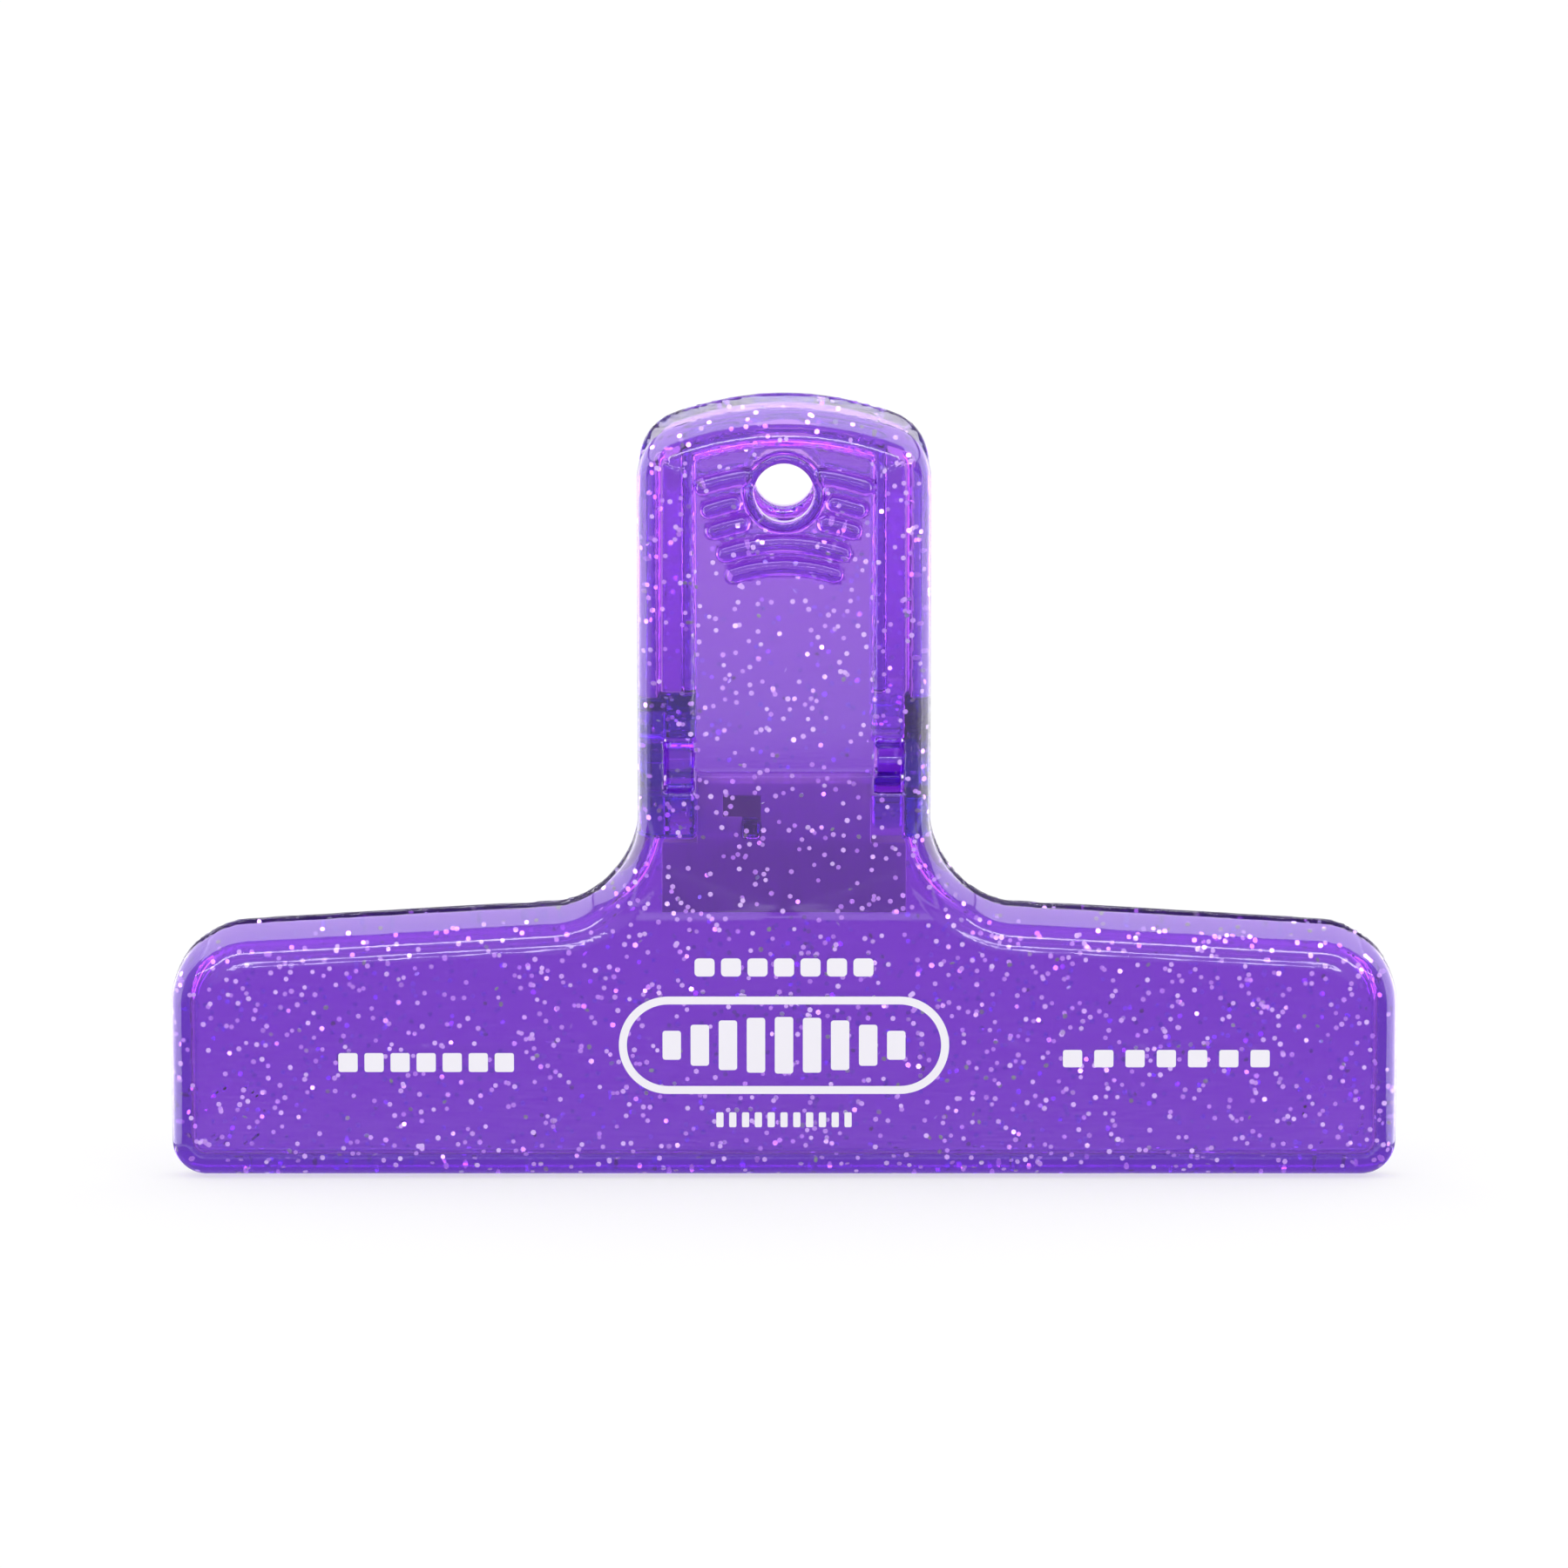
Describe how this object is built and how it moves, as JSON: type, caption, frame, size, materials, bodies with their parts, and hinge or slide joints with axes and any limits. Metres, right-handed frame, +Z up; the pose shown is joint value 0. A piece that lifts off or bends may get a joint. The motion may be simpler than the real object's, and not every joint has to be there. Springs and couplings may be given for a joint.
{
  "type": "spring paper clip",
  "caption": "Wide translucent glitter-plastic spring clip: two T-shaped jaws on a snap-in pivot, shut by a steel leaf spring, with a hanging hole.",
  "frame": {"origin": "under the middle of the closed lips, on the plane that the lips' lower edges touch", "axes": "X along the jaws, Y from the printed front jaw to the rear jaw, Z up from the lips to the handle tips"},
  "size_m": [0.153, 0.029, 0.0972],
  "materials": {
    "front_jaw": null,
    "rear_jaw": "clear purple moulding with silver glitter, glossy, unprinted",
    "leaf_spring": "satin spring steel strip"
  },
  "bodies": {
    "rear_half": {"rear_jaw": "rear_jaw", "leaf_spring": "leaf_spring"},
    "front_half": {"front_jaw": "front_jaw"}
  },
  "joints": [
    {"name": "jaw_pivot", "type": "hinge", "parent": "rear_half", "child": "front_half", "pos_m": [0, 0, 0.0521], "axis": [-1, 0, 0], "range_deg": [0, 21], "stiffness_Nm_per_rad": 0.6, "springref_deg": -17.19, "deforming": ["leaf_spring"]}
  ]
}
